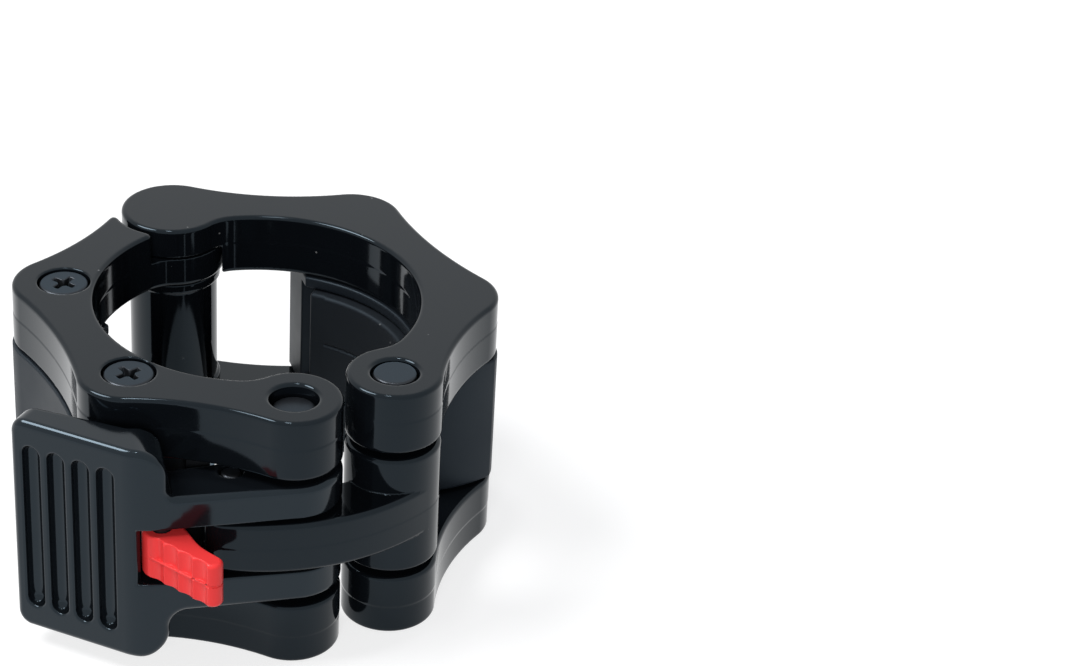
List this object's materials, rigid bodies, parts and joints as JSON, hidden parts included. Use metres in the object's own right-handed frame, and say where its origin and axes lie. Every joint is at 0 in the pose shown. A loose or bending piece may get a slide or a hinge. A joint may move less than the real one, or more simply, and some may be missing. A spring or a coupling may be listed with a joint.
{
  "type": "barbell collar",
  "caption": "Hinged clamp collar for a barbell sleeve, with rubber grip pads, an over-centre clamping lever and a thumb latch.",
  "frame": {"origin": "on the axis of the bar's bore, in the plane of the lower side plates' outer faces", "axes": "+Z along the bar's axis and up, -X towards the hinge pin, +X towards the lever and link pins, the lever's half at -Y"},
  "size_m": [0.0873, 0.0875, 0.0465],
  "materials": {
    "gloss_black": "glossy",
    "band_black": "matte",
    "pad_black": "matte",
    "latch_red": "glossy",
    "dark_steel": "satin",
    "brass": "satin"
  },
  "bodies": {
    "frame_a": {"side_plate_a_top": "gloss_black", "side_plate_a_bottom": "gloss_black", "middle_band_a": "band_black", "grip_pad_a": "pad_black", "screw_a1": "dark_steel", "screw_a2": "dark_steel", "insert_a1": "brass", "insert_a2": "brass", "hinge_pin": "dark_steel", "hinge_spacer": "gloss_black", "lever_pin": "dark_steel", "catch_rack": "dark_steel"},
    "frame_b": {"side_plate_b_bottom": "gloss_black", "side_plate_b_top": "gloss_black", "middle_band_b": "band_black", "grip_pad_b": "pad_black", "screw_b1": "dark_steel", "screw_b2": "dark_steel", "insert_b1": "brass", "insert_b2": "brass", "link_pin": "dark_steel"},
    "link": {"link": "gloss_black"},
    "lever": {"lever": "gloss_black", "lever_link_pin": "dark_steel", "latch_pin": "dark_steel", "latch_spring": "dark_steel"},
    "latch": {"latch": "latch_red"}
  },
  "joints": [
    {"name": "main_hinge", "type": "hinge", "parent": "frame_a", "child": "frame_b", "pos_m": [-0.0342, 0, 0.02325], "axis": [0, 0, 1], "range_deg": [0, 5]},
    {"name": "lever_pivot", "type": "hinge", "parent": "frame_a", "child": "lever", "pos_m": [0.03188, -0.0091, 0.02325], "axis": [0, 0, 1], "range_deg": [0, 85]},
    {"name": "link_pivot", "type": "hinge", "parent": "frame_b", "child": "link", "pos_m": [0.03188, 0.0091, 0.02325], "axis": [0, 0, 1], "range_deg": [0, 24]},
    {"name": "latch_pivot", "type": "hinge", "parent": "lever", "child": "latch", "pos_m": [0.03038, -0.0316, 0.02325], "axis": [0, 0, 1], "range_deg": [0, 8], "stiffness_Nm_per_rad": 0.02}
  ],
  "couplings": [
    {"joint": "main_hinge", "follows": "lever_pivot", "ratio": 0.0524},
    {"joint": "link_pivot", "follows": "lever_pivot", "ratio": 0.2591}
  ]
}
